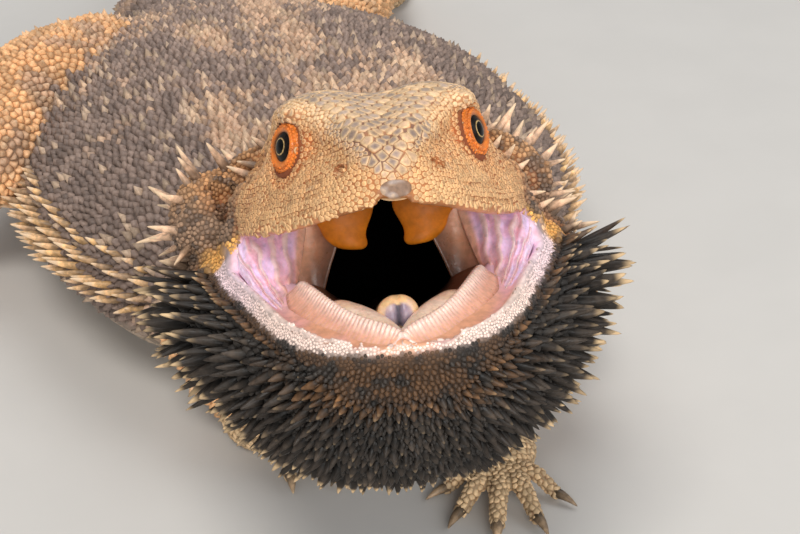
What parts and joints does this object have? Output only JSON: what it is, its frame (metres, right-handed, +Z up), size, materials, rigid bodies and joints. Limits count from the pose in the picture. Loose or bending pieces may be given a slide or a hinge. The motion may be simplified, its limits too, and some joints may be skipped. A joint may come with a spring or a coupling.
{
  "type": "bearded dragon",
  "caption": "Lizard lying on its belly with raised head, wide open mouth and spread spiny dark beard, made as a still model.",
  "frame": {"origin": "middle of the flat under the belly, on the floor", "axes": "+Z up, +Y from the head along the trunk to the tail, +X towards the animal's left side"},
  "size_m": [0.2369, 0.4871, 0.1113],
  "materials": {
    "back_skin": "dry scaly skin, grey-brown with cream and tan",
    "head_skin": "dry scaly skin, tan and orange",
    "beard_skin": "dry spiny skin, charcoal",
    "mouth_lining": "moist pink lining",
    "tongue": "moist tongue",
    "eye": "wet dark eye"
  },
  "bodies": {
    "root": {"torso": "back_skin", "neck": "back_skin", "tail_base": "back_skin", "tail_middle": "back_skin", "tail_tip": "back_skin", "head": "head_skin", "eye_left": "eye", "eye_right": "eye", "jaw": "mouth_lining", "cheek_left": "mouth_lining", "cheek_right": "mouth_lining", "beard": "beard_skin", "tongue": "tongue", "arm_left": "back_skin", "fore_left": "back_skin", "hand_left": "back_skin", "thigh_left": "back_skin", "shin_left": "back_skin", "foot_left": "back_skin", "arm_right": "back_skin", "fore_right": "back_skin", "hand_right": "back_skin", "thigh_right": "back_skin", "shin_right": "back_skin", "foot_right": "back_skin"}
  },
  "joints": []
}
